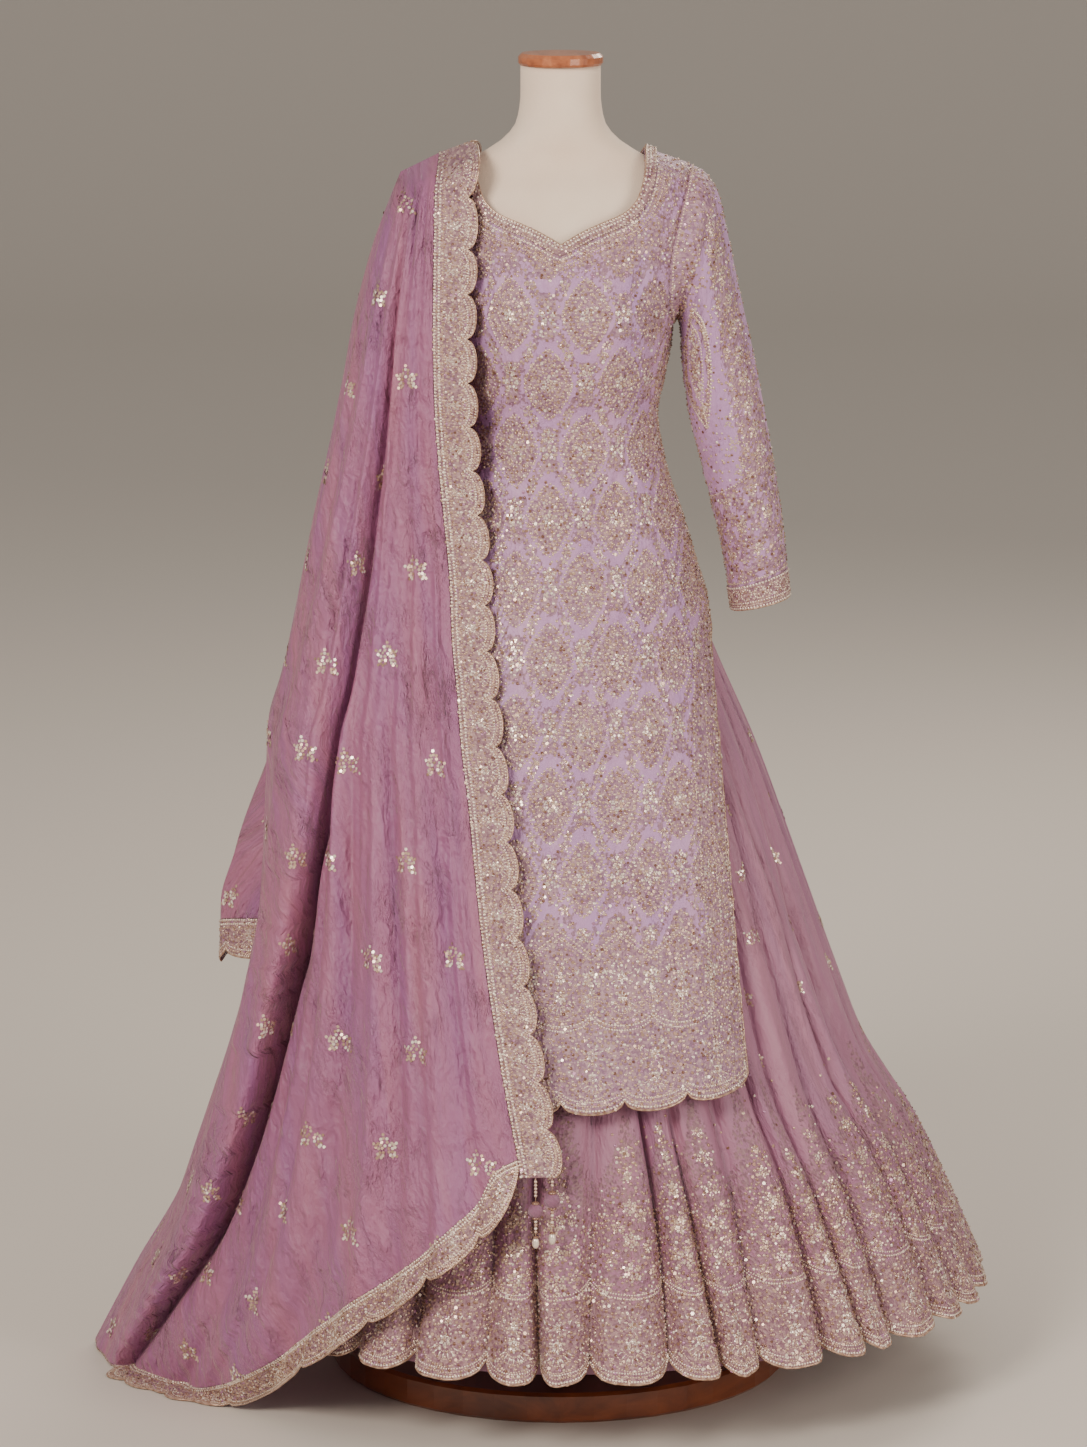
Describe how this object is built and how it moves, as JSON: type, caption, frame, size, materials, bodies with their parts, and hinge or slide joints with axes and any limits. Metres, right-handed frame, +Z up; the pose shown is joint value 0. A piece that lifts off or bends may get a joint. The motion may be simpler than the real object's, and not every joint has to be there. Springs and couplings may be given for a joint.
{
  "type": "anarkali suit on a dress form",
  "caption": "Long straight kurta with side slits over a pleated floor-length skirt, with a scallop-edged shawl on one shoulder, on a limbless dress form with a round plinth.",
  "frame": {"origin": "centre of the plinth's underside", "axes": "+Z up along the stand, the garment's front toward -Y, +X toward the viewer's right"},
  "size_m": [1.1437, 0.9588, 1.587],
  "materials": {
    "lilac_cloth": "lilac net over satin, worked with beads",
    "mauve_cloth": "mauve net over satin, worked with beads",
    "shawl_cloth": "soft mauve net with beaded sprigs",
    "beaded_band": "dense pale gold and silver beadwork",
    "lining_cloth": "plain mauve lining",
    "bead_tassel": "wound mauve ball with a bead drop",
    "jersey": "cream jersey",
    "dark_wood": "stained and polished",
    "cap_wood": "polished",
    "stand_metal": "dark brown"
  },
  "bodies": {
    "root": {"plinth": "dark_wood", "stand_pole": "stand_metal", "form_body": "jersey", "neck_cap": "cap_wood", "kurta_front": "lilac_cloth", "kurta_back": "lilac_cloth", "neck_edging": "beaded_band", "sleeve_left": "lilac_cloth", "sleeve_right": "lilac_cloth", "cuff_band_left": "beaded_band", "cuff_band_right": "beaded_band", "skirt_front": "mauve_cloth", "skirt_back": "mauve_cloth", "skirt_lining": "lining_cloth", "waistband": "mauve_cloth", "dupatta_front": "shawl_cloth", "dupatta_back": "shawl_cloth", "dupatta_border_front": "beaded_band", "dupatta_border_hem": "beaded_band", "dupatta_border_back": "beaded_band", "dupatta_border_back_hem": "beaded_band", "tassel_long": "bead_tassel", "tassel_short": "bead_tassel"}
  },
  "joints": []
}
